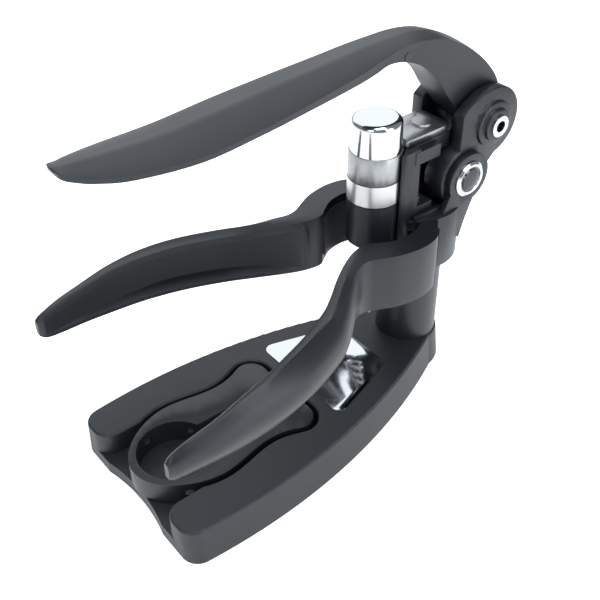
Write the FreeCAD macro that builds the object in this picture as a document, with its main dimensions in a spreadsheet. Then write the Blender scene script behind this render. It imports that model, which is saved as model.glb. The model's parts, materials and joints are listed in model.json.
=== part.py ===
import FreeCAD, Part
import math
import os
import Sketcher
from FreeCAD import Placement, Rotation, Vector

# A lever corkscrew resting on its display stand, with a foil cutter in the stand.
# X is left to right, -Y is the side the handles point to, +Z is up; all sizes in millimetres.
# Stand sizes are measured from the post axis at the table; opener sizes from the post axis at
# the underside of the frame, "opener_floor" above the table.
DIMS = {
    # overall placing
    "origin_shift": 53.8, "opener_floor": 57.5,
    # stand
    "stand_height": 15.8, "stand_half_width": 39.2, "stand_side_radius": 255.0, "stand_flare": 1.6,
    "stand_widest_y": -110.0, "stand_nose_y": -140.0, "stand_tail_radius": 13.6, "stand_tail_y": 1.5,
    "lobe_round": 7.0,
    "recess_floor": 5.5, "recess_gap": 2.0, "recess_mouth_half": 21.3, "recess_mouth_y": -118.0,
    "lip_radius": 80.0, "lip_y": -137.6, "stand_edge_round": 1.0,
    "foot_radius": 6.0, "foot_height": 1.6, "foot_x": 27.0, "foot_front_y": -122.0, "foot_rear_x": 8.0,
    "foot_rear_y": -22.0, "stand_screw_x": 7.0, "stand_screw_radius": 1.5, "stand_screw_head": 3.2,
    "post_radius": 12.9, "post_top": 57.2, "spigot_radius": 6.5, "spigot_height": 4.4, "spigot_y": 5.0,
    "plate_front_y": -60.0, "plate_rear_y": -25.2, "plate_front_half": 26.0, "plate_rear_half": 15.4,
    "plate_bottom": 14.9, "plate_top": 16.1, "plate_round": 3.6,
    # foil cutter
    "cutter_nose_y": -138.7, "cutter_rear_y": -66.8, "cutter_front_half": 21.4, "cutter_waist_half": 18.2,
    "cutter_rear_half": 22.0, "cutter_bottom": 5.8, "cutter_top": 15.9, "cutter_ring_y": -120.6,
    "cutter_ring_radius": 14.8, "cutter_slot_half": 5.4, "cutter_slot_y": -88.0,
    "cutwheel_radius": 2.4, "cutwheel_thick": 0.6, "cutwheel_pocket": 2.8, "cutwheel_gap": 1.2,
    "cutwheel_offset": 16.7, "cutwheel_z": 11.0, "cutwheel_rear_angle": 35.0, "cutwheel_side_angle": 105.0,
    "cutaxle_radius": 0.8, "cutaxle_bottom": 7.6, "cutaxle_top": 14.4, "small_running_gap": 0.05,
    # frame
    "column_radius": 18.2, "column_top": 23.3, "neck_radius": 19.6, "roof_z": 15.5,
    "worm_axis_y": -22.8, "lug_slot_bottom": 5.1, "lug_slot_top": 18.9, "lug_slot_rear_y": 5.0,
    "lug_slot_side_y": -3.4, "lug_slot_half": 14.5, "lug_space": 6.4,
    "rib_inner_x": 11.8, "rib_outer_x": 13.2,
    "rib_front_y": -12.8, "rib_rear_y": 4.0, "rib_top": 24.8,
    "socket_radius": 6.8, "tongue_slot_half": 1.8, "tongue_slot_front_y": -14.0, "tongue_slot_rear_y": 14.5,
    "frame_pivot_y": 12.3, "frame_pivot_z": 34.4, "ear_inner_x": 13.9, "ear_outer_x": 16.4,
    "ear_radius": 10.5, "saddle_radius": 12.8, "dome_radius": 7.3, "dome_seat": 1.1, "stub_radius": 4.0,
    "stub_inner_x": 4.3, "hinge_x": 8.5, "hinge_y": 2.0, "hinge_radius": 1.5, "hinge_bottom": 1.4,
    "hinge_top": 22.4, "rail_inner_x": 3.2, "rail_outer_x": 11.2, "rail_front_y": -19.5,
    "rail_bottom": 14.2, "arm_wide_x": 11.6, "arm_wide_rear_y": 0.0, "arm_top": 52.4, "rail_rear_y": -10.0,
    "arm_inner_x": 5.0, "arm_outer_x": 7.9, "arm_rear_y": 8.0, "arm_bottom": 47.1, "rail_top": 53.2,
    "rail_foot_y": -2.0, "rail_foot_top": 28.0, "rail_cut_radius": 10.8, "guide_screw_radius": 1.1,
    "guide_screw_head": 1.9, "guide_screw_x": 6.1, "guide_screw_y": -6.2, "guide_screw_bottom": 19.5,
    "nut_block_radius": 10.2, "nut_block_bottom": 13.5, "nut_block_top": 33.0, "nut_bore": 5.3,
    "nut_radius": 7.5, "nut_bottom": 27.0, "nut_top": 41.6, "sleeve_radius": 10.4, "sleeve_bottom": 33.2,
    "sleeve_top": 42.5,
    # link yoke between the frame ears
    "barrel_radius": 12.3, "barrel_inner_x": 4.0, "link_outer_x": 13.6, "link_inner_x": 8.3,
    "lever_pivot_y": 25.4, "lever_pivot_z": 53.0, "link_end_radius": 14.4, "boss_base_radius": 9.0,
    "boss_step_x": 15.2, "boss_top_radius": 6.5, "boss_outer_x": 17.0, "pivot_pin_radius": 3.0,
    "pivot_cap_radius": 4.3, "pivot_cap_eye": 2.3, "pivot_cap_outer_x": 17.9, "running_gap": 0.05,
    # lever
    "lever_half": 7.5, "lever_hub_radius": 10.0, "fork_inner_x": 1.8, "fork_outer_x": 3.6,
    "fork_root_radius": 6.5, "fork_tip_radius": 4.0, "carriage_pin_y": 9.0, "carriage_pin_z": 32.5,
    "carriage_pin_radius": 1.8, "washer_inner_x": 7.6, "washer_outer_x": 8.1, "washer_radius": 9.2,
    "lever_screw_y": -16.5, "lever_screw_z": 89.6, "lever_screw_radius": 1.6,
    # carriage and worm
    "ring_radius": 10.2, "ring_bottom": 42.8, "ring_top": 53.7, "ring_bore": 6.5, "deck_bottom": 53.5,
    "deck_top": 56.2, "deck_half": 7.9, "deck_rear_y": 8.0, "web_half": 2.9, "web_front_y": -15.0,
    "web_rear_y": -9.5, "tongue_half": 1.5, "tongue_rear_y": 13.5, "tongue_knee_z": 23.6,
    "tongue_leg_y": -2.0, "tongue_bottom": 5.6, "pin_window_front_y": -6.2, "pin_window_rear_y": 11.2,
    "pin_window_bottom": 29.7, "pin_window_top": 38.2, "rivet_radius": 4.4, "rivet_shank": 2.0,
    "rivet_y": 0.5, "rivet_top": 56.8, "cap_base_radius": 9.9, "cap_top_radius": 9.5, "cap_top": 66.4,
    "cap_round": 2.2, "cap_cavity_radius": 6.6, "cap_cavity_top": 60.0, "bush_bottom": 44.6,
    "bush_top": 52.6, "shaft_radius": 5.0, "shaft_bottom": 35.0, "head_radius": 6.2, "head_bottom": 54.2,
    "head_top": 58.0, "clip_bottom": 43.3, "clip_top": 44.3, "worm_pitch": 9.0, "worm_coil_radius": 3.55,
    "worm_wire_radius": 1.35, "worm_low": -19.5, "worm_high": 36.5,
    # squeeze handles
    "jaw_outer_radius": 28.5, "jaw_inner_radius": 19.4, "jaw_top": 24.3, "jaw_start_angle": -52.0,
    "jaw_span": 112.0, "jaw_clear_radius": 19.2, "lug_radius": 6.0, "lug_bottom": 5.4, "lug_top": 18.6,
    "pad_inner_radius": 18.2, "pad_bottom": 3.4, "pad_top": 20.6, "pad_start_angle": -44.0,
    "pad_span": 78.0, "shell_wall": 2.6,
}

doc = FreeCAD.newDocument("LeverCorkscrew")
sheet = doc.addObject("Spreadsheet::Sheet", "dims")
for row, (alias, number) in enumerate(DIMS.items(), start=1):
    sheet.set("A%d" % row, alias)
    sheet.set("B%d" % row, str(number))
    sheet.setAlias("B%d" % row, alias)
doc.recompute()


class Size:
    """A length that knows both its value and the sheet expression it comes from."""

    def __init__(self, value, text=None):
        self.value = float(value)
        self.text = text or "(%r)" % float(value)

    def __add__(self, other):
        other = as_size(other)
        return Size(self.value + other.value, "(%s + %s)" % (self.text, other.text))

    def __sub__(self, other):
        other = as_size(other)
        return Size(self.value - other.value, "(%s - %s)" % (self.text, other.text))

    def __mul__(self, factor):
        return Size(self.value * factor, "(%s * (%r))" % (self.text, float(factor)))

    def __neg__(self):
        return self * -1.0

    def __radd__(self, other):
        return as_size(other) + self

    def __rsub__(self, other):
        return as_size(other) - self


def as_size(value):
    return value if isinstance(value, Size) else Size(value)


class Dims:
    """The sheet's values as attributes, so that a size reads as d.cap_top."""


d = Dims()
for alias in DIMS:
    setattr(d, alias, Size(sheet.get(alias), "dims." + alias))

AXIS_TURNS = {"Z": Rotation(), "X": Rotation(Vector(0, 1, 0), 90), "Y": Rotation(Vector(1, 0, 0), -90)}
SIDE_VIEW = Rotation(Vector(1, 1, 1), 120)   # sketch x, y and normal become Y, Z and X
NODES = []
FRAME_PIVOT = (d.frame_pivot_y, d.frame_pivot_z, "X")
LEVER_PIVOT = (d.lever_pivot_y, d.lever_pivot_z, "X")
ARM_PIN = (d.carriage_pin_y, d.carriage_pin_z, "X")


# ---------------------------------------------------------------- helpers

def bind(obj, **sizes):
    for prop, value in sizes.items():
        obj.setExpression(prop, as_size(value).text)


def put(obj, x=0, y=0, z=0, turn=None):
    obj.Placement = Placement(Vector(as_size(x).value, as_size(y).value, as_size(z).value),
                              turn or Rotation())
    for axis, value in (("x", x), ("y", y), ("z", z)):
        if isinstance(value, Size):
            obj.setExpression("Placement.Base." + axis, value.text)
    return obj


def box(name, x0, x1, y0, y1, z0, z1):
    obj = doc.addObject("Part::Box", name)
    bind(obj, Length=as_size(x1) - x0, Width=as_size(y1) - y0, Height=as_size(z1) - z0)
    return put(obj, as_size(x0), as_size(y0), as_size(z0))


def rod(name, radius, low, high, a=0, b=0, axis="Z"):
    """A cylinder from low to high along axis; a and b place it across that axis."""
    obj = doc.addObject("Part::Cylinder", name)
    bind(obj, Radius=radius, Height=as_size(high) - low)
    spot = {"Z": (a, b, low), "X": (low, a, b)}[axis]
    return put(obj, *[as_size(value) for value in spot], turn=AXIS_TURNS[axis])


def wedge_of_ring(name, radius, low, high, start, span):
    """A pie slice about the worm axis, from the start angle through the span."""
    obj = doc.addObject("Part::Cylinder", name)
    bind(obj, Radius=radius, Height=high - low, Angle=span)
    return put(obj, Size(0), d.worm_axis_y, low, Rotation(Vector(0, 0, 1), start.value))


def fuse(name, *shapes):
    obj = doc.addObject("Part::MultiFuse", name)
    obj.Shapes = list(shapes)
    return obj


def common(name, *shapes):
    obj = doc.addObject("Part::MultiCommon", name)
    obj.Shapes = list(shapes)
    return obj


def cut(name, base, *tools):
    obj = doc.addObject("Part::Cut", name)
    obj.Base = base
    obj.Tool = tools[0] if len(tools) == 1 else fuse(name + "_tools", *tools)
    return obj


def mirror(name, source):
    obj = doc.addObject("Part::Mirroring", name)
    obj.Source = source
    obj.Normal = Vector(1, 0, 0)
    return obj


def coded(name, shape):
    """A feature whose shape is computed here, from sheet values."""
    obj = doc.addObject("Part::Feature", name)
    obj.Shape = shape
    return obj


def polygon(sketch, points):
    """Closed outline whose corners are tied to the sheet."""
    values = [Vector(as_size(x).value, as_size(y).value, 0) for x, y in points]
    count = len(values)
    for index in range(count):
        sketch.addGeometry(Part.LineSegment(values[index], values[(index + 1) % count]), False)
    for index in range(count):
        sketch.addConstraint(Sketcher.Constraint("Coincident", index, 2, (index + 1) % count, 1))
    for index, (x, y) in enumerate(points):
        for kind, value in (("DistanceX", x), ("DistanceY", y)):
            number = sketch.addConstraint(Sketcher.Constraint(kind, -1, 1, index, 1, as_size(value).value))
            if isinstance(value, Size):
                sketch.setExpression("Constraints[%d]" % number, value.text)


def origin_plane(body, role):
    return [item for item in body.Origin.OriginFeatures if item.Role == role][0]


def body_sketch(body, name, role, points, height=None):
    sketch = body.newObject("Sketcher::SketchObject", name)
    sketch.AttachmentSupport = (origin_plane(body, role), "")
    sketch.MapMode = "FlatFace"
    if height is not None:
        sketch.setExpression("AttachmentOffset.Base.z", height.text)
    polygon(sketch, points)
    return sketch


def turned(name, profile):
    """A turned piece: a (radius, height) outline revolved about the body's Z axis."""
    body = doc.addObject("PartDesign::Body", name)
    sketch = body_sketch(body, name + "_profile", "XZ_Plane", profile)
    spin = body.newObject("PartDesign::Revolution", name + "_turning")
    spin.Profile = sketch
    spin.ReferenceAxis = (sketch, ["V_Axis"])
    spin.Angle = 360
    sketch.Visibility = False
    return body


def padded(name, points, low, high, role="XY_Plane"):
    """A flat piece: an outline padded from low to high along the plane's normal."""
    body = doc.addObject("PartDesign::Body", name)
    sketch = body_sketch(body, name + "_outline", role, points, low)
    pad = body.newObject("PartDesign::Pad", name + "_pad")
    pad.Profile = sketch
    bind(pad, Length=high - low)
    return body


def edges_where(shape, test):
    return ["Edge%d" % (index + 1) for index, edge in enumerate(shape.Edges) if test(edge)]


def round_body(body, radius, test):
    """Fillet the edges of a body that pass the test."""
    doc.recompute()
    base = body.Tip
    fillet = body.newObject("PartDesign::Fillet", body.Name + "_round")
    fillet.Base = (base, edges_where(base.Shape, test))
    bind(fillet, Radius=radius)
    body.Tip = fillet
    return body


def round_solid(name, base, radius, test):
    """Fillet the edges of a Part object that pass the test."""
    doc.recompute()
    fillet = doc.addObject("Part::Fillet", name)
    fillet.Base = base
    chosen = [index + 1 for index, edge in enumerate(base.Shape.Edges) if test(edge)]
    fillet.Edges = [(index, radius.value, radius.value) for index in chosen]
    return fillet


def upright(edge):
    """True for a straight edge that runs mostly along Z."""
    ends = edge.Vertexes
    if len(ends) < 2:
        return False
    span = ends[1].Point.sub(ends[0].Point)
    return abs(span.z) > 0.9 * span.Length and span.Length > 0.5


def sides(low, high):
    """The x range of a piece on the right, and of its mirror image on the left."""
    return ("right", low, high), ("left", -high, -low)


def side_plate(name, outline, x0, x1):
    """A plate whose (y, z) outline stands in the side view, from x0 to x1."""
    sketch = doc.addObject("Sketcher::SketchObject", name + "_outline")
    put(sketch, as_size(x0), 0, 0, SIDE_VIEW)
    polygon(sketch, outline)
    plate = doc.addObject("Part::Extrusion", name)
    plate.Base = sketch
    plate.DirMode = "Normal"
    plate.Solid = True
    bind(plate, LengthFwd=as_size(x1) - x0)
    return plate


def node(obj, label, on_stand=False, x=0, y=0, z=0):
    """Name a finished sub-part and move it to its place in the assembly."""
    floor = Size(0) if on_stand else d.opener_floor
    turn = obj.Placement.Rotation
    put(obj, as_size(x), as_size(y) + d.origin_shift, as_size(z) + floor, turn)
    obj.Label = label
    NODES.append((label, obj))
    return obj


def node_pair(stem, right, on_stand=False):
    """The right-hand piece in its place, and its mirror image across the middle plane."""
    node(right, "right_" + stem, on_stand)
    left = mirror("left_" + stem + "_mirror", right)
    left.Label = "left_" + stem
    NODES.append((left.Label, left))


def spline_face(points, plane_turn=None):
    """A face inside one closed smooth curve through the points."""
    curve = Part.BSplineCurve()
    curve.interpolate([Vector(x, y, 0) for x, y in points], PeriodicFlag=True)
    wire = Part.Wire([curve.toShape()])
    if plane_turn:
        wire.Placement = Placement(Vector(), plane_turn)
    return Part.Face(wire)


# ---------------------------------------------------------------- stand and foil cutter

def cutter_outline():
    """Peanut-shaped plan of the foil cutter: round nose, waist, square-ish heel."""
    nose, rear = d.cutter_nose_y.value, d.cutter_rear_y.value
    front, waist, heel = d.cutter_front_half.value, d.cutter_waist_half.value, d.cutter_rear_half.value
    right = [(0.35 * front, nose + 2.0), (0.78 * front, nose + 11.5), (front, nose + 27.2),
             (0.5 * (front + waist), nose + 38.0), (waist, nose + 50.0),
             (0.5 * (waist + heel), rear - 12.5),
             (heel, rear - 5.6), (heel - 3.6, rear - 0.8), (0.5 * heel, rear - 0.05)]
    return [(0, nose)] + right + [(0, rear)] + [(-x, y) for x, y in reversed(right)]


def grown(points, gap):
    """The same closed outline with each point moved out by the gap."""
    moved = []
    for index, (x, y) in enumerate(points):
        before, after = points[index - 1], points[(index + 1) % len(points)]
        run_x, run_y = after[0] - before[0], after[1] - before[1]
        length = math.hypot(run_x, run_y)
        moved.append((x + gap * run_y / length, y - gap * run_x / length))
    return moved


def stand_base():
    offset = d.stand_side_radius - d.stand_half_width
    sides = []
    for name, x in (("stand_right_side", -offset), ("stand_left_side", offset)):
        side = doc.addObject("Part::Cone", name)
        bind(side, Radius1=d.stand_side_radius + d.stand_flare, Radius2=d.stand_side_radius,
             Height=d.stand_height)
        sides.append(put(side, x, d.stand_widest_y, 0))
    front = box("stand_front", -60, 60, d.stand_nose_y, d.stand_tail_y, 0, d.stand_height)
    hull = common("stand_hull", sides[0], sides[1], front)
    tail = doc.addObject("Part::Cone", "stand_tail")
    bind(tail, Radius1=d.stand_tail_radius + d.stand_flare, Radius2=d.stand_tail_radius,
         Height=d.stand_height)
    blank = fuse("stand_blank", hull, tail)
    pocket = spline_face(grown(cutter_outline(), d.recess_gap.value))
    depth = Vector(0, 0, d.stand_height.value)
    recess = put(coded("stand_recess", pocket.extrude(depth)), 0, 0, d.recess_floor)
    mouth = box("stand_mouth", -d.recess_mouth_half, d.recess_mouth_half, d.stand_nose_y - 5,
                d.recess_mouth_y, d.recess_floor, d.stand_height + 1)
    lip = rod("stand_lip", d.lip_radius, d.recess_floor - 20, d.stand_height + 1, 0, d.lip_y - d.lip_radius)
    lobed = cut("stand_lobed", blank, recess, mouth, lip)
    nose = d.stand_nose_y.value

    def lobe_corner(edge):
        middle = edge.CenterOfMass
        return upright(edge) and abs(middle.y - nose) < 1.0 and middle.z > d.recess_floor.value - 4 \
            and abs(middle.x) > d.recess_mouth_half.value - 0.5

    rounded = round_solid("stand_rounded", lobed, d.lobe_round, lobe_corner)
    top = d.stand_height.value

    def top_edge(edge):
        box_of = edge.BoundBox
        return box_of.ZMin > top - 0.01 and box_of.ZMax < top + 0.01

    rounded = round_solid("stand_softened", rounded, d.stand_edge_round, top_edge)
    seat = padded("plate_seat", plate_outline(), d.plate_bottom, d.plate_top)
    tools = [round_body(seat, d.plate_round, upright)]
    for index, (x, y) in enumerate(foot_places()):
        tools.append(rod("foot_seat_%d" % index, d.foot_radius, 0, d.foot_height, x, y))
    for index, side in enumerate((-1, 1)):
        x = d.stand_screw_x * side
        tools.append(rod("stand_screw_hole_%d" % index, d.stand_screw_radius, 0, d.stand_height, x, 0))
        tools.append(rod("stand_screw_sink_%d" % index, d.stand_screw_head, 0, 4.0, x, 0))
    node(cut("stand_base_cut", rounded, *tools), "stand_base", on_stand=True)


def plate_outline():
    return [(-d.plate_front_half, d.plate_front_y), (d.plate_front_half, d.plate_front_y),
            (d.plate_rear_half, d.plate_rear_y), (-d.plate_rear_half, d.plate_rear_y)]


def foot_places():
    return [(d.foot_x * side, d.foot_front_y) for side in (-1, 1)] \
        + [(d.foot_rear_x * side, d.foot_rear_y) for side in (-1, 1)]


def stand_fittings():
    feet = [rod("foot_%d" % index, d.foot_radius, 0, d.foot_height, x, y)
            for index, (x, y) in enumerate(foot_places())]
    node(fuse("feet", *feet), "stand_feet", on_stand=True)
    plate = padded("mirror_pad", plate_outline(), d.plate_bottom, d.plate_top)
    node(round_body(plate, d.plate_round, upright), "mirror_plate", on_stand=True)
    post = rod("post_shaft", d.post_radius, d.stand_height, d.post_top)
    spigot = rod("post_spigot", d.spigot_radius, d.post_top, d.post_top + d.spigot_height, 0, d.spigot_y)
    holes = [rod("post_screw_hole_%d" % index, d.stand_screw_radius, d.stand_height, d.stand_height + 12.0,
                 d.stand_screw_x * side, 0) for index, side in enumerate((-1, 1))]
    node(cut("post_cut", fuse("post_blank", post, spigot), *holes), "stand_post", on_stand=True)
    screws = []
    for index, side in enumerate((-1, 1)):
        x = d.stand_screw_x * side
        screws.append(rod("stand_screw_shank_%d" % index, d.stand_screw_radius, 4.0,
                          d.stand_height + 11.5, x, 0))
        screws.append(rod("stand_screw_head_%d" % index, d.stand_screw_head, 1.6, 4.0, x, 0))
    node(fuse("stand_screw_set", *screws), "stand_screws", on_stand=True)


def wheel_places():
    """Cutting-wheel centres, measured round the ring from its rear."""
    places = []
    for angle in (d.cutwheel_rear_angle, d.cutwheel_side_angle):
        for side in (-1, 1):
            turn = math.radians(90.0 - side * angle.value)
            places.append((d.cutwheel_offset * math.cos(turn),
                           d.cutter_ring_y + d.cutwheel_offset * math.sin(turn)))
    return places


def foil_cutter():
    thickness = Vector(0, 0, d.cutter_top.value - d.cutter_bottom.value)
    blank = put(coded("cutter_blank", spline_face(cutter_outline()).extrude(thickness)), 0, 0,
                d.cutter_bottom)
    low, high = d.cutter_bottom - 1, d.cutter_top + 1
    tools = [rod("cutter_opening", d.cutter_ring_radius, low, high, 0, d.cutter_ring_y),
             box("cutter_slot", -d.cutter_slot_half, d.cutter_slot_half, d.cutter_ring_y,
                 d.cutter_slot_y, low, high),
             rod("cutter_slot_end", d.cutter_slot_half, low, high, 0, d.cutter_slot_y)]
    half_gap = d.cutwheel_gap * 0.5
    axles = []
    for index, (x, y) in enumerate(wheel_places()):
        tools.append(rod("wheel_pocket_%d" % index, d.cutwheel_pocket, d.cutwheel_z - half_gap,
                         d.cutwheel_z + half_gap, x, y))
        tools.append(rod("axle_bore_%d" % index, d.cutaxle_radius, d.cutaxle_bottom, d.cutaxle_top, x, y))
        axles.append(rod("cutter_axle_%d" % index, d.cutaxle_radius, d.cutaxle_bottom, d.cutaxle_top, x, y))
        half = d.cutwheel_thick * 0.5
        rim = rod("wheel_rim_%d" % index, d.cutwheel_radius, -half, half)
        bore = rod("wheel_bore_%d" % index, d.cutaxle_radius + d.small_running_gap, -half - 1, half + 1)
        node(cut("cutter_wheel_cut_%d" % index, rim, bore), "cutter_wheel_%d" % (index + 1), True, x, y,
             d.cutwheel_z)
    node(cut("cutter_cut", blank, *tools), "foil_cutter_body", on_stand=True)
    node(fuse("cutter_axle_set", *axles), "foil_cutter_axles", on_stand=True)


# ---------------------------------------------------------------- frame

def ear_outline():
    """Side view of a frame ear, from the column up to the link pivot."""
    y, z = d.frame_pivot_y, d.frame_pivot_z
    return [(y - 14.0, z - 14.0), (y - 12.0, z - 20.0), (y - 2.4, z - 26.4), (y - 0.4, z - 19.5),
            (y + 2.5, z - 12.1), (y + 4.3, z - 8.4), (y + 9.4, z - 4.6), (y, z), (y - 9.6, z - 4.0)]


def frame_column():
    column = rod("column_disc", d.column_radius, 0, d.column_top)
    parts = [column]
    for side, low, high in sides(d.rib_inner_x, d.rib_outer_x):
        parts.append(box(side + "_rib", low, high, d.rib_front_y, d.rib_rear_y, d.roof_z, d.rib_top))
    for side, low, high in sides(d.ear_inner_x, d.ear_outer_x):
        parts.append(side_plate(side + "_ear", ear_outline(), low, high))
        parts.append(rod(side + "_ear_ring", d.ear_radius, low, high, *FRAME_PIVOT))
    blank = fuse("column_blank", *parts)
    far = 40
    tools = [rod("neck_space", d.neck_radius, -1, d.roof_z, 0, d.worm_axis_y),
             rod("nut_block_seat", d.nut_block_radius, d.nut_block_bottom, d.column_top + 1, 0,
                 d.worm_axis_y),
             box("lug_slot", -far, far, -far, d.lug_slot_side_y, d.lug_slot_bottom, d.lug_slot_top),
             box("lug_slot_inside", -d.lug_slot_half, d.lug_slot_half, d.lug_slot_side_y - 1,
                 d.lug_slot_rear_y, d.lug_slot_bottom, d.lug_slot_top),
             rod("spigot_socket", d.socket_radius, -1, d.lug_slot_bottom, 0, d.spigot_y),
             box("tongue_slot", -d.tongue_slot_half, d.tongue_slot_half, d.tongue_slot_front_y,
                 d.tongue_slot_rear_y, d.lug_slot_bottom - 0.1, d.column_top + 1),
             rod("saddle", d.saddle_radius, -d.ear_inner_x, d.ear_inner_x, *FRAME_PIVOT),
             rod("stub_bore", d.stub_radius, -far, far, *FRAME_PIVOT)]
    seat_x = d.ear_outer_x - d.dome_seat
    for side, low, high in sides(seat_x, d.ear_outer_x + 5):
        tools.append(rod(side + "_dome_seat", d.dome_radius, low, high, *FRAME_PIVOT))
    for index, side in enumerate((-1, 1)):
        tools.append(rod("hinge_bore_%d" % index, d.hinge_radius, d.hinge_bottom, d.hinge_top,
                         d.hinge_x * side, d.hinge_y))
        tools.append(rod("lug_space_%d" % index, d.lug_space, d.lug_slot_bottom, d.lug_slot_top,
                         d.hinge_x * side, d.hinge_y))
        tools.append(rod("guide_screw_bore_%d" % index, d.guide_screw_radius, d.guide_screw_bottom,
                         d.column_top + 1, d.guide_screw_x * side, d.guide_screw_y))
    node(cut("column_cut", blank, *tools), "frame_column")


def guide_rails():
    """The rail and top arm that the carriage slides between, on each side."""
    rail = box("rail_post", d.rail_inner_x, d.rail_outer_x, d.rail_front_y, d.rail_rear_y, d.rail_bottom,
               d.rail_top)
    foot = box("rail_foot", d.rail_inner_x, d.rail_outer_x, d.rail_rear_y, d.rail_foot_y, d.column_top,
               d.rail_foot_top)
    arm = box("rail_arm", d.arm_inner_x, d.arm_outer_x, d.rail_rear_y, d.arm_rear_y, d.arm_bottom,
              d.rail_top)
    shoulder = box("rail_shoulder", d.arm_inner_x, d.arm_wide_x, d.rail_rear_y - 3.0, d.arm_wide_rear_y,
                   d.arm_bottom, d.arm_top)
    hollow = rod("rail_hollow", d.rail_cut_radius, 0, d.rail_top + 1, 0, d.worm_axis_y)
    column = rod("column_space", d.column_radius, 0, d.column_top)
    bore = rod("rail_screw_bore", d.guide_screw_radius, d.column_top - 1, d.rail_foot_top + 1,
               d.guide_screw_x, d.guide_screw_y)
    node_pair("guide_rail", cut("rail_cut", fuse("rail_blank", rail, foot, arm, shoulder), hollow,
                                column, bore))
    screws = []
    for index, side in enumerate((-1, 1)):
        x = d.guide_screw_x * side
        screws.append(rod("guide_screw_shank_%d" % index, d.guide_screw_radius, d.guide_screw_bottom,
                          d.rail_foot_top, x, d.guide_screw_y))
        screws.append(rod("guide_screw_head_%d" % index, d.guide_screw_head, d.rail_foot_top,
                          d.rail_foot_top + 1.2, x, d.guide_screw_y))
    node(fuse("guide_screw_set", *screws), "guide_screws")


def nut_group():
    block = [(d.nut_bore + 0.3, d.nut_block_bottom), (d.nut_block_radius - 1.2, d.nut_block_bottom),
             (d.nut_block_radius, d.nut_block_bottom + 1.2), (d.nut_block_radius, d.nut_block_top),
             (d.nut_radius, d.nut_block_top), (d.nut_radius, d.nut_bottom),
             (d.nut_bore + 0.3, d.nut_bottom)]
    node(turned("nut_block_turned", block), "nut_block", y=d.worm_axis_y)
    sleeve = [(d.nut_radius, d.nut_block_top), (d.sleeve_radius - 0.6, d.nut_block_top),
              (d.sleeve_radius, d.sleeve_bottom + 0.4), (d.sleeve_radius, d.sleeve_top),
              (d.nut_radius, d.sleeve_top)]
    node(turned("nut_sleeve_turned", sleeve), "nut_sleeve", y=d.worm_axis_y)
    nut = [(d.nut_bore, d.nut_bottom), (d.nut_radius, d.nut_bottom), (d.nut_radius, d.nut_top),
           (d.nut_bore, d.nut_top)]
    node(turned("worm_nut_turned", nut), "worm_nut", y=d.worm_axis_y)


def pivot_screws():
    """Domed screws that carry the link barrels in the frame ears."""
    seat = d.ear_outer_x - d.dome_seat
    profile = [(0, d.stub_inner_x), (d.stub_radius - 0.5, d.stub_inner_x),
               (d.stub_radius, d.stub_inner_x + 0.5),
               (d.stub_radius, seat), (d.dome_radius, seat), (d.dome_radius, d.ear_outer_x + 0.4),
               (d.dome_radius - 0.9, d.ear_outer_x + 1.1), (d.dome_radius - 1.9, d.ear_outer_x + 0.9),
               (d.dome_radius - 2.3, d.ear_outer_x + 0.2), (d.dome_radius - 2.8, d.ear_outer_x + 1.2),
               (d.dome_radius - 4.8, d.ear_outer_x + 1.7), (0, d.ear_outer_x + 1.9)]
    screw = put(turned("pivot_screw_turned", profile), 0, d.frame_pivot_y, d.frame_pivot_z, AXIS_TURNS["X"])
    node_pair("pivot_screw", common("pivot_screw_solid", screw))


def hinge_pins():
    for side, name in ((-1, "left"), (1, "right")):
        pin = [(0, d.hinge_bottom), (d.hinge_radius - 0.3, d.hinge_bottom),
               (d.hinge_radius, d.hinge_bottom + 0.3),
               (d.hinge_radius, d.hinge_top - 0.3), (d.hinge_radius - 0.3, d.hinge_top), (0, d.hinge_top)]
        node(turned(name + "_hinge_pin_turned", pin), name + "_hinge_pin", x=d.hinge_x * side, y=d.hinge_y)


# ---------------------------------------------------------------- link yoke and lever

def link_outline():
    """Side view of the plate between the barrel and the lever pivot."""
    y, z = d.lever_pivot_y, d.lever_pivot_z
    return [(y - 16.8, z - 9.5), (y - 16.6, z + 7.4), (y - 12.6, z + 10.4), (y - 6.4, z + 13.6),
            (y, z + 14.2),
            (y + 9.0, z - 9.0), (y - 1.0, z - 18.4), (y - 13.1, z - 18.6)]


def links():
    barrel = rod("barrel", d.barrel_radius, d.barrel_inner_x, d.link_outer_x, *FRAME_PIVOT)
    plate = side_plate("link_plate", link_outline(), d.link_inner_x, d.link_outer_x)
    end = rod("link_end", d.link_end_radius, d.link_inner_x, d.link_outer_x, *LEVER_PIVOT)
    base = rod("link_boss_base", d.boss_base_radius, d.link_outer_x, d.boss_step_x, *LEVER_PIVOT)
    top = rod("link_boss_top", d.boss_top_radius, d.boss_step_x, d.boss_outer_x, *LEVER_PIVOT)
    stub = rod("link_stub_bore", d.stub_radius + d.running_gap, 0, 30, *FRAME_PIVOT)
    pin = rod("link_pin_bore", d.pivot_pin_radius, 0, 30, *LEVER_PIVOT)
    node_pair("link", cut("link_cut", fuse("link_blank", barrel, plate, end, base, top), stub, pin))
    reach = d.boss_outer_x - 3.5
    node(rod("pivot_pin_rod", d.pivot_pin_radius, -reach, reach, *LEVER_PIVOT),
         "lever_pivot_pin", x=-reach, y=d.lever_pivot_y, z=d.lever_pivot_z)
    cap = rod("pivot_cap_rod", d.pivot_cap_radius, d.boss_outer_x, d.pivot_cap_outer_x, *LEVER_PIVOT)
    eye = rod("pivot_cap_eye", d.pivot_cap_eye, 0, 30, *LEVER_PIVOT)
    node_pair("pivot_cap", cut("pivot_cap_cut", cap, eye))


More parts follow.
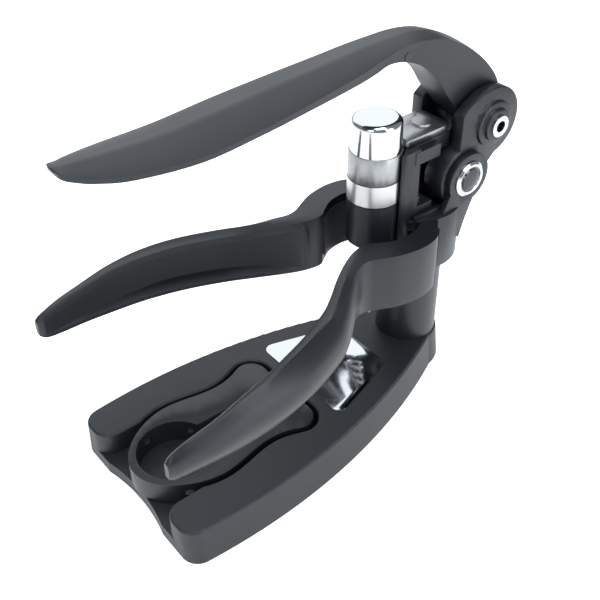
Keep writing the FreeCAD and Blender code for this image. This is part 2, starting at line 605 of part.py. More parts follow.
def arch_profile():
    """Side view of the lever arm: it rises from the pivot and curves forward over the cap."""
    y, z = d.lever_pivot_y.value, d.lever_pivot_z.value
    outer = [(-63.0, 38.0), (-52.0, 41.0), (-38.3, 42.0), (-29.0, 40.2), (-21.7, 37.2), (-11.6, 31.8),
             (-4.3, 26.3), (1.0, 21.3), (6.0, 15.0), (9.4, 6.0), (9.6, -2.0)]
    inner = [(4.0, -8.8), (-4.0, -8.6), (-8.8, -4.0), (-11.4, 4.0), (-15.0, 11.0), (-18.5, 17.0),
             (-24.0, 24.0),
             (-31.0, 30.6), (-40.4, 34.2), (-46.3, 35.8), (-56.0, 36.6)]
    return [(y + dy, z + dz) for dy, dz in outer + inner]


# Lever grip stations: (y, half width, edge height, crown above the edges)
GRIP_STATIONS = [(-147.4, 2.4, 91.4, 0.8), (-145.2, 4.9, 90.4, 1.6), (-138.0, 8.6, 88.7, 2.6),
                 (-127.0, 11.8, 87.4, 3.4), (-106.0, 14.0, 86.3, 3.8), (-85.0, 14.1, 87.6, 3.6),
                 (-63.5, 12.8, 89.5, 3.2), (-42.5, 10.8, 91.4, 2.4), (-22.0, 7.9, 93.4, 1.8)]


def grip_section(y, half, edge, crown):
    """One cross-section of the leaf-shaped grip: crowned top, thin sides, shallow belly."""
    side = 1.4
    belly = 0.9 + 0.12 * half
    points = [Vector(-half, y, edge), Vector(0, y, edge + crown), Vector(half, y, edge),
              Vector(half, y, edge - side), Vector(0, y, edge - side - belly),
              Vector(-half, y, edge - side)]
    top = Part.Arc(points[0], points[1], points[2]).toShape()
    right = Part.LineSegment(points[2], points[3]).toShape()
    bottom = Part.Arc(points[3], points[4], points[5]).toShape()
    left = Part.LineSegment(points[5], points[0]).toShape()
    return Part.Wire([top, right, bottom, left])


def lever():
    half = d.lever_half
    y, z = d.lever_pivot_y, d.lever_pivot_z
    face = spline_face(arch_profile(), SIDE_VIEW)
    arch = put(coded("lever_arch", face.extrude(Vector(2 * half.value, 0, 0))), -half, 0, 0)
    grip = coded("grip_loft", Part.makeLoft([grip_section(*station) for station in GRIP_STATIONS], True,
                                            False))
    seat = rod("fork_seat", d.lever_hub_radius, -half - 1, half + 1, *LEVER_PIVOT)
    clear = rod("barrel_clearance", d.barrel_radius + 0.6, -half - 1, half + 1, *FRAME_PIVOT)
    fork_gap = box("fork_gap", -d.fork_inner_x, d.fork_inner_x, d.arm_rear_y - 1, y + 14, z - 14, z + 8)
    cross = rod("lever_screw_bore", d.lever_screw_radius, -half - 1, half + 1, d.lever_screw_y,
                d.lever_screw_z, "X")
    node(cut("lever_cut", fuse("lever_joined", arch, grip), seat, clear, fork_gap, cross), "lever")
    screw = rod("lever_screw_rod", d.lever_screw_radius, -half - 0.1, half + 0.1, 0, 0, "X")
    node(screw, "lever_screw", x=-half - 0.1, y=d.lever_screw_y, z=d.lever_screw_z)
    washers = []
    for side, low, high in sides(d.washer_inner_x, d.washer_outer_x):
        disc = rod(side + "_washer_disc", d.washer_radius, low, high, *LEVER_PIVOT)
        eye = rod(side + "_washer_eye", d.pivot_pin_radius + d.running_gap, low - 1, high + 1, *LEVER_PIVOT)
        washers.append(cut(side + "_washer", disc, eye))
    node(fuse("washer_set", *washers), "pivot_washers")


def lever_fork():
    """The hub inside the links, with the two blades that reach down to the carriage."""
    half = d.lever_half
    y, z = d.lever_pivot_y, d.lever_pivot_z
    hub = rod("lever_hub", d.lever_hub_radius, -half, half, *LEVER_PIVOT)
    gap = box("hub_gap", -d.fork_inner_x, d.fork_inner_x, y - 14, y + 14, z - 14, z + 8)
    clear = rod("hub_clearance", d.barrel_radius + 0.6, -half - 1, half + 1, *FRAME_PIVOT)
    blades = []
    for side, low, high in sides(d.fork_inner_x, d.fork_outer_x):
        root = rod(side + "_blade_root", d.fork_root_radius, low, high, *LEVER_PIVOT)
        tip = rod(side + "_blade_tip", d.fork_tip_radius, low, high, *ARM_PIN)
        outline = [(d.carriage_pin_y - 3.1, d.carriage_pin_z + 2.5),
                   (d.carriage_pin_y + 3.1, d.carriage_pin_z - 2.5),
                   (y + 5.1, z - 4.1), (y - 5.1, z + 4.1)]
        blades += [root, tip, side_plate(side + "_blade", outline, low, high)]
    solid = fuse("fork_joined", cut("fork_head", hub, gap, clear), *blades)
    pin_bore = rod("lever_pin_bore", d.pivot_pin_radius + d.running_gap, -half - 1, half + 1, *LEVER_PIVOT)
    arm_bore = rod("arm_pin_bore", d.carriage_pin_radius, -half, half, *ARM_PIN)
    node(cut("lever_fork_cut", solid, pin_bore, arm_bore), "lever_fork")
    arm_pin = rod("arm_pin_rod", d.carriage_pin_radius, -d.fork_outer_x, d.fork_outer_x, 0, 0, "X")
    node(arm_pin, "lever_arm_pin", x=-d.fork_outer_x, y=d.carriage_pin_y, z=d.carriage_pin_z)


# ---------------------------------------------------------------- carriage and worm

def carriage():
    axis = d.worm_axis_y
    ring = rod("carriage_ring", d.ring_radius, d.ring_bottom, d.ring_top, 0, axis)
    deck = box("carriage_deck", -d.deck_half, d.deck_half, axis + 9.0, d.deck_rear_y, d.deck_bottom,
               d.deck_top)
    web = box("carriage_web", -d.web_half, d.web_half, d.web_front_y, d.web_rear_y, d.ring_bottom,
              d.deck_top)
    blank = fuse("carriage_blank", ring, deck, web)
    bore = rod("carriage_bore", d.ring_bore, d.ring_bottom - 1, d.deck_top + 1, 0, axis)
    cap_seat = rod("cap_seat", d.cap_base_radius + 0.1, d.ring_top, d.deck_top + 1, 0, axis)
    rivet_bore = rod("rivet_bore", d.rivet_shank, d.deck_bottom - 1, d.deck_top + 1, 0, d.rivet_y)
    shaped = cut("carriage_cut", blank, bore, cap_seat, rivet_bore)
    rear = d.deck_rear_y.value

    def rear_corner(edge):
        middle = edge.CenterOfMass
        return upright(edge) and abs(middle.y - rear) < 0.5

    node(round_solid("carriage_rounded", shaped, Size(3.5), rear_corner), "carriage")
    outline = [(d.web_rear_y, d.tongue_bottom), (d.tongue_leg_y, d.tongue_bottom),
               (d.tongue_leg_y, d.tongue_knee_z),
               (d.tongue_rear_y, d.tongue_knee_z), (d.tongue_rear_y, d.deck_bottom - 1.0),
               (d.deck_rear_y - 1.0, d.deck_bottom), (d.web_rear_y, d.deck_bottom)]
    plate = side_plate("tongue_plate", outline, -d.tongue_half, d.tongue_half)
    window = box("pin_window", -5, 5, d.pin_window_front_y, d.pin_window_rear_y, d.pin_window_bottom,
                 d.pin_window_top)
    node(cut("tongue_cut", plate, window), "carriage_tongue")
    rivet = [(0, d.deck_bottom), (d.rivet_shank, d.deck_bottom), (d.rivet_shank, d.deck_top),
             (d.rivet_radius, d.deck_top), (d.rivet_radius - 0.5, d.rivet_top), (0, d.rivet_top)]
    node(turned("carriage_rivet_turned", rivet), "carriage_rivet", y=d.rivet_y)
    cap = [(d.cap_cavity_radius, d.ring_top), (d.cap_base_radius, d.ring_top),
           (d.cap_top_radius, d.cap_top),
           (0, d.cap_top), (0, d.cap_cavity_top), (d.cap_cavity_radius, d.cap_cavity_top)]
    top = d.cap_top.value

    def rim(edge):
        return abs(edge.CenterOfMass.z - top) < 0.01

    node(round_body(turned("worm_cap_turned", cap), d.cap_round, rim), "worm_cap", y=axis)
    bush = [(d.shaft_radius + d.running_gap, d.bush_bottom), (d.ring_bore, d.bush_bottom),
            (d.ring_bore, d.bush_top),
            (d.shaft_radius + d.running_gap, d.bush_top)]
    node(turned("worm_bearing_turned", bush), "worm_bearing", y=axis)


def worm():
    axis = d.worm_axis_y
    radius, wire_radius = d.worm_coil_radius.value, d.worm_wire_radius.value
    low, high = d.worm_low.value, d.worm_high.value
    helix = Part.makeHelix(d.worm_pitch.value, high - low, radius)
    tangent = Vector(0, 2 * math.pi * radius, d.worm_pitch.value)
    ring = Part.Wire([Part.makeCircle(wire_radius, Vector(radius, 0, 0), tangent)])
    coil = Part.Wire(helix.Edges).makePipeShell([ring], True, True)
    tangent.normalize()
    point = Part.makeCone(wire_radius, 0.25, 3.6, Vector(radius, 0, 0), tangent.negative())
    wormwire = put(coded("worm_wire", coil.fuse(point)), 0, 0, d.worm_low)
    shaft = rod("worm_shaft", d.shaft_radius, d.shaft_bottom, d.head_bottom)
    head = rod("worm_head", d.head_radius, d.head_bottom, d.head_top)
    node(fuse("worm_joined", wormwire, shaft, head), "worm", y=axis)
    clip = [(d.shaft_radius, d.clip_bottom), (d.head_radius, d.clip_bottom), (d.head_radius, d.clip_top),
            (d.shaft_radius, d.clip_top)]
    node(turned("worm_clip_turned", clip), "worm_clip", y=axis)


# ---------------------------------------------------------------- squeeze handles

# Handle stations: (y, inner x, outer x, bottom, top)
HANDLE_STATIONS = [(-44.0, 13.2, 22.5, 0.0, 24.2), (-52.0, 16.8, 25.6, 0.0, 23.6),
                   (-60.0, 22.2, 31.0, -0.6, 22.0),
                   (-70.0, 28.2, 37.6, -1.8, 20.8), (-81.0, 33.2, 42.8, -2.2, 20.5),
                   (-95.0, 38.0, 46.8, -2.2, 20.2),
                   (-108.0, 40.8, 48.2, -2.4, 19.2), (-120.0, 42.2, 48.0, -2.6, 17.0),
                   (-132.0, 42.2, 47.0, -2.4, 13.4), (-141.0, 40.8, 45.8, -1.6, 9.4),
                   (-146.5, 39.8, 44.6, 0.0, 5.6)]


def shell_section(y, inner, outer, bottom, top):
    """Cross-section of a handle: flat inner side and rims, bulging outer side."""
    points = [Vector(inner, y, top), Vector(outer - 1.6, y, top),
              Vector(outer + 1.0, y, 0.55 * top + 0.45 * bottom),
              Vector(outer - 2.4, y, bottom), Vector(inner + 0.4, y, bottom)]
    edges = [Part.LineSegment(points[0], points[1]).toShape(), Part.Arc(*points[1:4]).toShape(),
             Part.LineSegment(points[3], points[4]).toShape(),
             Part.LineSegment(points[4], points[0]).toShape()]
    return Part.Wire(edges)


def hollow_section(y, inner, outer, bottom, top):
    """The same section inset by the wall and opened towards the inner side."""
    wall = d.shell_wall.value
    corners = [Vector(inner - 6, y, top - wall), Vector(outer - wall - 0.6, y, top - wall),
               Vector(outer - wall - 1.2, y, bottom + wall), Vector(inner - 6, y, bottom + wall)]
    return Part.makePolygon(corners + corners[:1])


def handles():
    jaw = wedge_of_ring("jaw_slice", d.jaw_outer_radius, Size(0), d.jaw_top, d.jaw_start_angle, d.jaw_span)
    loft = Part.makeLoft([shell_section(*station) for station in HANDLE_STATIONS], True, False)
    hollow = Part.makeLoft([hollow_section(*station) for station in HANDLE_STATIONS[3:9]], True, False)
    shell = cut("handle_shell", coded("handle_loft", loft), coded("handle_hollow", hollow))
    inside = rod("jaw_inside", d.jaw_inner_radius, -5, d.jaw_top + 5, 0, d.worm_axis_y)
    behind = rod("jaw_behind", d.jaw_clear_radius, -5, d.jaw_top + 5)
    body = cut("handle_front", fuse("handle_joined", jaw, shell), inside, behind)
    x, y = d.hinge_x, d.hinge_y
    knuckle = rod("lug_knuckle", d.lug_radius, d.lug_bottom, d.lug_top, x, y)
    outline = [(x - 4.6, y - 3.6), (x + 1.0, y - 10.5), (x + 14.0, y - 20.0), (x + 14.0, y - 10.6),
               (x + 6.5, y - 6.2), (x + 5.3, y - 5.8), (x + 5.4, y + 0.5)]
    bridge = padded("lug_bridge", outline, d.lug_bottom, d.lug_top)
    lug = cut("lug_cut", fuse("lug_blank", knuckle, bridge), inside)
    bore = rod("lug_bore", d.hinge_radius + d.running_gap, -5, d.jaw_top + 5, x, y)
    pad_seat = wedge_of_ring("pad_seat", d.jaw_inner_radius + 0.8, d.pad_bottom, d.pad_top,
                             d.pad_start_angle, d.pad_span)
    node_pair("handle", cut("handle_cut", fuse("handle_whole", body, lug), bore, pad_seat))
    pad = wedge_of_ring("pad_slice", d.jaw_inner_radius + 0.8, d.pad_bottom, d.pad_top,
                        d.pad_start_angle, d.pad_span)
    throat = rod("pad_throat", d.pad_inner_radius, -5, d.jaw_top + 5, 0, d.worm_axis_y)
    node_pair("grip_pad", cut("pad_cut", pad, throat, behind))


# ---------------------------------------------------------------- build, check and write

for build in (stand_base, stand_fittings, foil_cutter, frame_column, guide_rails, nut_group, pivot_screws,
              hinge_pins, links, lever, lever_fork, carriage, worm, handles):
    build()
doc.recompute()

for item in doc.Objects:
    if "Invalid" in item.State or "Error" in item.State:
        raise SystemExit("failed object: %s %s" % (item.Name, item.State))
os.makedirs("parts", exist_ok=True)
for label, obj in NODES:
    if obj.Shape.isNull() or not obj.Shape.isValid():
        raise SystemExit("bad shape: " + label)
    obj.Shape.exportStep("parts/" + label + ".step")
    print("%-20s solids %d  volume %.1f" % (label, len(obj.Shape.Solids), obj.Shape.Volume))
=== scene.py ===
import json
import math

import bpy
from mathutils import Matrix, Vector


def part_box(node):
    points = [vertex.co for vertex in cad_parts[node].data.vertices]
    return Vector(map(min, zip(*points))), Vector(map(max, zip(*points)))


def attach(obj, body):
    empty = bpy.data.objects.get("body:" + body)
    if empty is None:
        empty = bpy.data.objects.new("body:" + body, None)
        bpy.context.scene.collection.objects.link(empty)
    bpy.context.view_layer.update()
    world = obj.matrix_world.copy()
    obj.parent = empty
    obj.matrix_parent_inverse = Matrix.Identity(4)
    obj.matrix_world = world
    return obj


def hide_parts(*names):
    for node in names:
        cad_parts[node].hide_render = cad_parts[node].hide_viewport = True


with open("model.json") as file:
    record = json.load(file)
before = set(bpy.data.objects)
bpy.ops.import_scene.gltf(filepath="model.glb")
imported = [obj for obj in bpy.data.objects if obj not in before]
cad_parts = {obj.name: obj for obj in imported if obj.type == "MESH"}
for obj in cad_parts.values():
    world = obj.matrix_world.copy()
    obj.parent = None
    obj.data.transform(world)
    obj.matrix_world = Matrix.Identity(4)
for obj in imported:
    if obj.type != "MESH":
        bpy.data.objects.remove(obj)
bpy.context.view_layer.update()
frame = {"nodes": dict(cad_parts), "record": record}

NODES = frame["nodes"]
SLOT_OF = {part["node"]: part["material_slot"] for part in frame["record"]["subparts"]}
MM = 0.001


# ---------------------------------------------------------------- materials

def plastic(name, color, roughness, grain=0.0, grain_scale=400.0):
    """A plastic with a fine noise in its gloss and a faint surface grain."""
    material = bpy.data.materials.new(name)
    material.use_nodes = True
    nodes, links = material.node_tree.nodes, material.node_tree.links
    shader = nodes["Principled BSDF"]
    shader.inputs["Base Color"].default_value = (*color, 1)
    place = nodes.new("ShaderNodeTexCoord")
    cloud = nodes.new("ShaderNodeTexNoise")
    cloud.inputs["Scale"].default_value = 35.0
    cloud.inputs["Detail"].default_value = 6.0
    spread = nodes.new("ShaderNodeMapRange")
    spread.inputs["To Min"].default_value = roughness - 0.05
    spread.inputs["To Max"].default_value = roughness + 0.07
    links.new(place.outputs["Object"], cloud.inputs["Vector"])
    links.new(cloud.outputs["Fac"], spread.inputs["Value"])
    links.new(spread.outputs["Result"], shader.inputs["Roughness"])
    if grain:
        speckle = nodes.new("ShaderNodeTexNoise")
        speckle.inputs["Scale"].default_value = grain_scale
        speckle.inputs["Detail"].default_value = 3.0
        bump = nodes.new("ShaderNodeBump")
        bump.inputs["Strength"].default_value = grain
        bump.inputs["Distance"].default_value = 0.0002
        links.new(place.outputs["Object"], speckle.inputs["Vector"])
        links.new(speckle.outputs["Fac"], bump.inputs["Height"])
        links.new(bump.outputs["Normal"], shader.inputs["Normal"])
    return material


def metal(name, color, roughness, brush=(200, 200, 200)):
    """A metal; an uneven brush stretches its fine scratches along one axis."""
    material = bpy.data.materials.new(name)
    material.use_nodes = True
    nodes, links = material.node_tree.nodes, material.node_tree.links
    shader = nodes["Principled BSDF"]
    shader.inputs["Base Color"].default_value = (*color, 1)
    shader.inputs["Metallic"].default_value = 1.0
    place = nodes.new("ShaderNodeTexCoord")
    mapping = nodes.new("ShaderNodeMapping")
    mapping.inputs["Scale"].default_value = brush
    scratch = nodes.new("ShaderNodeTexNoise")
    scratch.inputs["Scale"].default_value = 3.0
    scratch.inputs["Detail"].default_value = 5.0
    spread = nodes.new("ShaderNodeMapRange")
    spread.inputs["To Min"].default_value = max(0.02, roughness - 0.06)
    spread.inputs["To Max"].default_value = roughness + 0.06
    links.new(place.outputs["Object"], mapping.inputs["Vector"])
    links.new(mapping.outputs["Vector"], scratch.inputs["Vector"])
    links.new(scratch.outputs["Fac"], spread.inputs["Value"])
    links.new(spread.outputs["Result"], shader.inputs["Roughness"])
    return material


# Colour of the painted dark reflection in the middle of each pivot screw's head
PAINTED_REFLECTION_COLOR = (0.07, 0.072, 0.08, 1)


def chrome_with_painted_reflection(name, color, centre, painted_reflection_radius):
    """Chrome with a painted dark reflection inside a circle round a pivot's axis, where the recess is."""
    material = metal(name, color, 0.14)
    nodes, links = material.node_tree.nodes, material.node_tree.links
    place = nodes.new("ShaderNodeTexCoord")
    offset = nodes.new("ShaderNodeVectorMath")
    offset.operation = "SUBTRACT"
    offset.inputs[1].default_value = centre
    flat = nodes.new("ShaderNodeVectorMath")
    flat.operation = "MULTIPLY"
    flat.inputs[1].default_value = (0, 1, 1)
    reach = nodes.new("ShaderNodeVectorMath")
    reach.operation = "LENGTH"
    shade = nodes.new("ShaderNodeMapRange")
    shade.interpolation_type = "SMOOTHSTEP"
    shade.inputs["From Min"].default_value = painted_reflection_radius - 0.4 * MM
    shade.inputs["From Max"].default_value = painted_reflection_radius + 0.2 * MM
    ramp = nodes.new("ShaderNodeValToRGB")
    # the dark end of the ramp is the painted reflection, the light end the plain chrome
    ramp.color_ramp.elements[0].color = PAINTED_REFLECTION_COLOR
    ramp.color_ramp.elements[1].color = (*color, 1)
    links.new(place.outputs["Object"], offset.inputs[0])
    links.new(offset.outputs["Vector"], flat.inputs[0])
    links.new(flat.outputs["Vector"], reach.inputs[0])
    links.new(reach.outputs["Value"], shade.inputs["Value"])
    links.new(shade.outputs["Result"], ramp.inputs["Fac"])
    links.new(ramp.outputs["Color"], nodes["Principled BSDF"].inputs["Base Color"])
    return material


MATERIALS = {
    "stand_plastic": plastic("stand_plastic", (0.0125, 0.0145, 0.018), 0.48, grain=0.25, grain_scale=900.0),
    "post_plastic": plastic("post_plastic", (0.01, 0.0105, 0.013), 0.38),
    "body_plastic": plastic("body_plastic", (0.0065, 0.008, 0.0115), 0.4, grain=0.12, grain_scale=1200.0),
    "cutter_plastic": plastic("cutter_plastic", (0.009, 0.0095, 0.012), 0.36, grain=0.15),
    "pad_plastic": plastic("pad_plastic", (0.03, 0.03, 0.032), 0.6),
    "soft_rubber": plastic("soft_rubber", (0.015, 0.015, 0.016), 0.75, grain=0.3),
    "mirror_plate": metal("mirror_plate", (0.6, 0.61, 0.64), 0.1),
    "bright_chrome": metal("bright_chrome", (0.6, 0.61, 0.62), 0.1),
    "brushed_ring": metal("brushed_ring", (0.6, 0.6, 0.6), 0.3, brush=(40, 40, 900)),
    "cast_metal": metal("cast_metal", (0.36, 0.365, 0.375), 0.36),
    "screw_steel": metal("screw_steel", (0.5, 0.5, 0.52), 0.3),
    "worm_steel": metal("worm_steel", (0.42, 0.42, 0.44), 0.25),
}


def paint(obj, slot_name):
    obj.data.materials.clear()
    obj.data.materials.append(MATERIALS[slot_name])


for node_name, node_object in NODES.items():
    paint(node_object, SLOT_OF[node_name])


def pivot_screws():
    """The two domed screws share one axis, and one chrome with a painted dark reflection in its centre."""
    low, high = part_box("right_pivot_screw")
    centre = (0, (low[1] + high[1]) / 2, (low[2] + high[2]) / 2)
    # the pivot screws' heads get a painted dark reflection in their middle
    MATERIALS["pivot_chrome_painted_reflection"] = chrome_with_painted_reflection("pivot_chrome_painted_reflection", (0.6, 0.61, 0.63), centre, 5.0 * MM)
    for side in ("left", "right"):
        paint(NODES[side + "_pivot_screw"], "pivot_chrome_painted_reflection")


pivot_screws()


# ---------------------------------------------------------------- swept pieces

# Stations are in millimetres: x and y from the post axis, z from the table.
POST_Y = 53.8         # the post axis stands this far behind the frame's origin
STEPS = 5             # rings between two stations
SKIN_ANGLE = 38       # edges sharper than this many degrees are rounded on a skin
NODE_ANGLE = 35       # and on a CAD node


def between(before, start, end, after, t):
    """One Catmull-Rom value, from start at t = 0 to end at t = 1."""
    curve = 2 * before - 5 * start + 4 * end - after
    twist = 3 * start - before - 3 * end + after
    return 0.5 * (2 * start + (end - before) * t + curve * t * t + twist * t ** 3)


def smooth(stations):
    """Catmull-Rom points between the stations, so a sweep has no corners between them."""
    line = []
    last = len(stations) - 1
    for index in range(last):
        before, start = stations[max(index - 1, 0)], stations[index]
        end, after = stations[index + 1], stations[min(index + 2, last)]
        for step in range(STEPS):
            line.append(tuple(between(*values, step / STEPS) for values in zip(before, start, end, after)))
    line.append(tuple(stations[-1]))
    return line


def round_edges(obj, width, segments, angle):
    """A bevel on the edges sharper than the angle."""
    rounding = obj.modifiers.new("rounding", "BEVEL")
    rounding.width = width * MM
    rounding.segments = segments
    rounding.limit_method = "ANGLE"
    rounding.angle_limit = math.radians(angle)
    rounding.harden_normals = True


def sweep(name, rings, body, slot_name, bevel):
    """A closed skin through the rings, with rounded corners, riding on a body."""
    count = len(rings[0])
    points = [(x * MM, (y + POST_Y) * MM, z * MM) for ring in rings for x, y, z in ring]
    faces = [tuple(reversed(range(count)))]
    for row in range(len(rings) - 1):
        for column in range(count):
            near, far = row * count + column, row * count + (column + 1) % count
            faces.append((near, far, far + count, near + count))
    first = (len(rings) - 1) * count
    faces.append(tuple(range(first, first + count)))
    mesh = bpy.data.meshes.new(name)
    mesh.from_pydata(points, [], faces)
    mesh.validate()
    mesh.shade_smooth()
    obj = bpy.data.objects.new(name, mesh)
    bpy.context.collection.objects.link(obj)
    round_edges(obj, bevel, 3, SKIN_ANGLE)
    paint(obj, slot_name)
    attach(obj, body)
    return obj


def across(values):
    """Cross-section places from -1 to 1."""
    return [-value for value in reversed(values)] + [0.0] + list(values)


# Lever stations: outer edge (y, z), inner edge (y, z), half width, crown, belly
LEVER_STATIONS = [
    (-147.3, 148.9, -147.1, 148.0, 1.0, 0.2, 0.1), (-146.3, 148.5, -146.2, 147.0, 4.3, 0.9, 0.4),
    (-143.1, 147.4, -143.1, 145.8, 6.2, 1.5, 0.7), (-137.8, 146.3, -137.8, 144.6, 8.8, 2.3, 1.1),
    (-127.2, 144.9, -127.2, 143.1, 11.8, 3.0, 1.6), (-106.0, 143.8, -106.0, 141.9, 14.0, 3.5, 2.2),
    (-84.8, 145.2, -84.8, 143.2, 14.1, 3.4, 2.2), (-63.6, 147.0, -63.6, 144.5, 12.8, 3.0, 1.8),
    (-42.4, 148.9, -42.6, 145.7, 10.9, 2.4, 1.2), (-31.8, 150.2, -33.0, 146.4, 9.5, 1.9, 0.9),
    (-22.4, 151.1, -26.0, 147.0, 8.1, 1.6, 0.6), (-12.9, 151.3, -19.0, 145.9, 7.5, 1.3, 0.4),
    (-3.6, 150.0, -11.5, 142.9, 7.5, 1.2, 0.3), (3.7, 147.7, -6.0, 139.0, 7.5, 1.1, 0.2),
    (13.8, 142.3, 0.0, 133.5, 7.5, 1.0, 0.2), (21.1, 136.8, 5.3, 125.6, 7.5, 0.9, 0.2),
    (26.4, 131.8, 10.0, 119.8, 7.5, 0.8, 0.2), (31.4, 125.8, 13.0, 115.6, 7.5, 0.7, 0.2),
    (34.6, 118.6, 16.0, 112.0, 7.5, 0.5, 0.2), (35.0, 112.0, 19.0, 109.0, 7.5, 0.4, 0.2)]


def lever_ring(outer_y, outer_z, inner_y, inner_z, half, crown, belly):
    """Crowned top with a soft middle ridge, thin sides and a rounded belly underneath."""
    outer = Vector((0, outer_y, outer_z))
    inner = Vector((0, inner_y, inner_z))
    up = (outer - inner).normalized()
    ring = []
    for place in across((0.12, 0.35, 0.6, 0.82, 0.95, 1.0)):
        lift = crown * (1 - 0.72 * abs(place) - 0.28 * abs(place) ** 3)
        ring.append(outer + up * lift + Vector((half * place, 0, 0)))
    for place in reversed(across((0.4, 0.85, 0.97))):
        drop = belly * (1 - place ** 2)
        ring.append(inner - up * drop + Vector((half * place, 0, 0)))
    return ring


def lever_skin():
    rings = [lever_ring(*station) for station in smooth(LEVER_STATIONS)]
    skin = sweep("lever_skin", rings, "lever", "body_plastic", bevel=0.35)
    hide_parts("lever")


# Handle stations: inner (x, y), outer (x, y), bottom, top, hollow depth, outer bulge, crown of the top
HANDLE_STATIONS = [
    (15.3, -11.7, 18.5, -5.6, 57.6, 81.6, 0.0, 0.0, 0.0),
    (16.3, -13.3, 23.4, -10.6, 57.6, 81.6, 0.0, 0.1, 0.0),
    (17.8, -16.3, 26.9, -14.6, 57.6, 81.6, 0.0, 0.2, 0.0),
    (18.9, -22.8, 28.4, -22.8, 57.6, 81.6, 0.0, 0.3, 0.0),
    (17.8, -29.3, 26.9, -32.5, 57.6, 81.6, 0.0, 0.3, 0.0),
    (14.9, -34.4, 23.9, -39.6, 57.6, 81.6, 0.0, 0.4, 0.05),
    (12.6, -38.4, 22.2, -44.0, 57.6, 81.5, 0.0, 0.6, 0.15),
    (13.6, -45.2, 22.6, -48.4, 57.5, 81.4, 0.0, 0.8, 0.35),
    (16.8, -52.2, 25.6, -53.2, 57.2, 81.2, 2.2, 1.0, 0.6),
    (20.8, -59.0, 30.0, -58.8, 56.8, 80.3, 3.8, 1.3, 0.85),
    (25.3, -65.6, 34.9, -65.0, 56.0, 79.0, 4.4, 1.5, 1.0),
    (29.4, -72.4, 38.9, -71.6, 55.5, 78.4, 4.7, 1.7, 1.0),
    (34.7, -84.8, 43.6, -84.0, 55.4, 78.2, 4.8, 1.8, 1.0),
    (38.1, -95.6, 46.5, -95.0, 55.4, 77.8, 4.6, 1.7, 1.0),
    (40.6, -106.2, 47.8, -106.0, 55.3, 76.8, 3.6, 1.3, 1.0),
    (42.0, -117.0, 48.0, -117.0, 55.3, 75.0, 2.6, 1.0, 1.0),
    (42.5, -128.0, 47.8, -128.0, 55.8, 72.2, 1.6, 1.0, 1.0),
    (42.3, -138.0, 46.9, -138.0, 56.3, 70.0, 0.6, 0.8, 1.0),
    (42.1, -144.4, 46.0, -144.4, 57.2, 67.4, 0.0, 0.5, 0.9),
    (42.7, -146.9, 45.0, -146.9, 58.8, 65.0, 0.0, 0.2, 0.5)]
RIM = 4.3             # height of the rim along a handle's inner top edge
LOWER_RIM = 1.6       # and along its inner bottom edge

# Outer side of a handle, from its bottom up: (share of the height, share of the bulge)
FLAT_SIDE = ((0.0, -0.9), (0.1, -0.2), (0.25, 0.4), (0.45, 0.9), (0.65, 1.0), (0.82, 0.7), (0.94, 0.2),
             (1.0, -0.5))
ROLLED_SIDE = ((0.0, -2.6), (0.1, -1.0), (0.25, 0.2), (0.42, 0.9), (0.58, 0.9), (0.73, 0.2), (0.86, -1.2),
               (0.95, -3.0))


def handle_ring(inner_x, inner_y, outer_x, outer_y, bottom, top, hollow, bulge, crown):
    """Bulging outer side that rolls over into a crowned top, and an inner side hollowed under its rim."""
    inner = Vector((inner_x, inner_y, 0))
    outer = Vector((outer_x, outer_y, 0))
    side = (outer - inner).normalized()
    width = (outer - inner).length
    height = top - bottom
    rim = min(RIM, height * 0.3)
    foot = min(LOWER_RIM, height * 0.2)

    def at(push, z):
        return inner + side * push + Vector((0, 0, z))

    ring = [at(0, top - 1.6 * crown), at(0, top - rim), at(hollow, top - rim - 0.4 * hollow - 0.1)]
    ring += [at(hollow, bottom + foot + 0.4 * hollow + 0.1), at(0, bottom + foot), at(0, bottom)]
    for (low, push), (round_low, round_push) in zip(FLAT_SIDE, ROLLED_SIDE):
        share = low + (round_low - low) * crown
        reach = push * bulge + (round_push * bulge - push * bulge) * crown
        ring.append(at(width + reach, bottom + height * share))
    ring.append(at(width * (0.5 - 0.08 * crown), top))
    ring.append(at(width * 0.2, top - 0.5 * crown))
    return ring


def handle_skins():
    rings = [handle_ring(*station) for station in smooth(HANDLE_STATIONS)]
    mirrored = [[Vector((-x, y, z)) for x, y, z in reversed(ring)] for ring in rings]
    for side, side_rings in (("right", rings), ("left", mirrored)):
        skin = sweep(side + "_handle_skin", side_rings, side + "_handle", "body_plastic", bevel=0.5)
        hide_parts(side + "_handle")


def soften(node_name, width):
    """A small round on the sharp edges of a CAD node, as on a moulded or cast part."""
    obj = NODES[node_name]
    obj.data.shade_smooth()
    weld = obj.modifiers.new("weld", "WELD")
    weld.merge_threshold = 0.00001
    round_edges(obj, width, 2, NODE_ANGLE)


SOFT_EDGES = {"left_link": 0.5, "right_link": 0.5, "frame_column": 0.35, "left_guide_rail": 0.4,
              "right_guide_rail": 0.4, "carriage": 0.25, "mirror_plate": 0.25, "foil_cutter_body": 0.5}


lever_skin()
handle_skins()
for node_name, width in SOFT_EDGES.items():
    soften(node_name, width)


# ---------------------------------------------------------------- floor, light and camera

FLOOR_SIZE = 30        # metres


def floor():
    """A plain pale floor, bright enough to read as white."""
    bpy.ops.mesh.primitive_plane_add(size=FLOOR_SIZE, location=(0, 0, 0))
    plane = bpy.context.object
    plane.name = "floor"
    material = bpy.data.materials.new("floor_paint")
    material.use_nodes = True
    shader = material.node_tree.nodes["Principled BSDF"]
    shader.inputs["Base Color"].default_value = (0.93, 0.93, 0.935, 1)
    shader.inputs["Roughness"].default_value = 0.7
    shader.inputs["Emission Color"].default_value = (1, 1, 1, 1)
    shader.inputs["Emission Strength"].default_value = 0.6
    plane.data.materials.append(material)


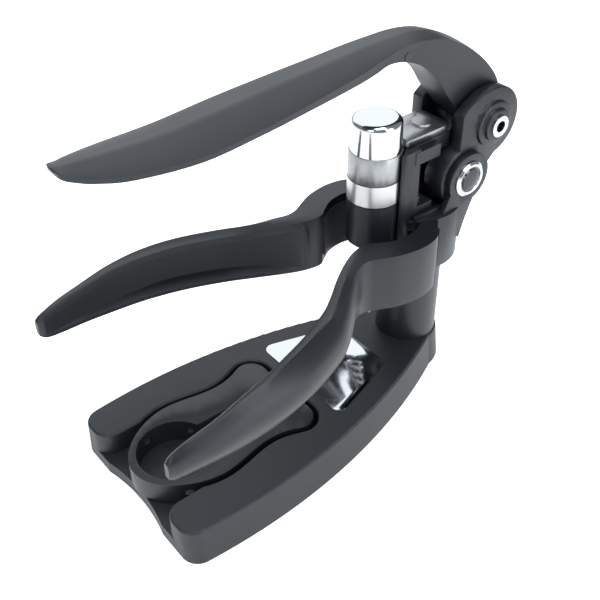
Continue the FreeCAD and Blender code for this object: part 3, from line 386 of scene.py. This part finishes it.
def area_light(name, place, aim, size, energy):
    data = bpy.data.lights.new(name, "AREA")
    data.shape = "RECTANGLE"
    data.size, data.size_y = size
    data.energy = energy
    data.color = LAMP_COLOR
    lamp = bpy.data.objects.new(name, data)
    bpy.context.collection.objects.link(lamp)
    lamp.location = place
    lamp.rotation_euler = (Vector(aim) - Vector(place)).to_track_quat("-Z", "Y").to_euler()


# Soft boxes: name, place, what each faces, width and height in metres, and power in watts
LAMPS = (
    ("back_left", (-0.7, 0.25, 0.75), (0, 0, 0.06), (1.2, 1.2), 6.0),
    ("top", (0.25, -0.05, 1.0), (0, 0, 0.06), (0.6, 0.6), 6.0),
    ("front", (0.25, -0.8, 0.5), (0, 0, 0.06), (0.5, 0.4), 2.0),
    ("right", (0.8, 0.25, 0.35), (0, 0, 0.08), (0.5, 0.8), 4.2),
)
LAMP_COLOR = (0.9, 0.96, 1.0)


def lights():
    """A dim even sky with four soft boxes."""
    world = bpy.data.worlds.new("studio")
    world.use_nodes = True
    world.node_tree.nodes["Background"].inputs["Color"].default_value = (0.95, 0.98, 1, 1)
    world.node_tree.nodes["Background"].inputs["Strength"].default_value = 0.3
    bpy.context.scene.world = world
    bpy.context.scene.view_settings.view_transform = "Standard"
    for lamp in LAMPS:
        area_light(*lamp)


# Camera: turn to the left of +Y, tilt down, roll, focal length in frame widths, and place in millimetres
YAW, PITCH, ROLL = (math.radians(angle) for angle in (51.58, 38.74, 0.58))
FOCAL = 933.2 / 600
CAMERA_AT = (219.4, -179.3, 282.3)


def camera():
    """A plain camera with no shift and no depth of field."""
    data = bpy.data.cameras.new("camera")
    data.sensor_width = 36
    data.lens = 36 * FOCAL
    data.clip_start = 0.01
    eye = bpy.data.objects.new("camera", data)
    bpy.context.collection.objects.link(eye)
    look = Vector((-math.sin(YAW) * math.cos(PITCH), math.cos(YAW) * math.cos(PITCH), -math.sin(PITCH)))
    level = Vector((math.cos(YAW), math.sin(YAW), 0))
    down = look.cross(level)
    right = math.cos(ROLL) * level + math.sin(ROLL) * down
    below = -math.sin(ROLL) * level + math.cos(ROLL) * down
    turn = Matrix((right, -below, -look)).transposed()
    eye.matrix_world = Matrix.Translation(Vector(CAMERA_AT) * MM) @ turn.to_4x4()
    bpy.context.scene.camera = eye


floor()
lights()
camera()
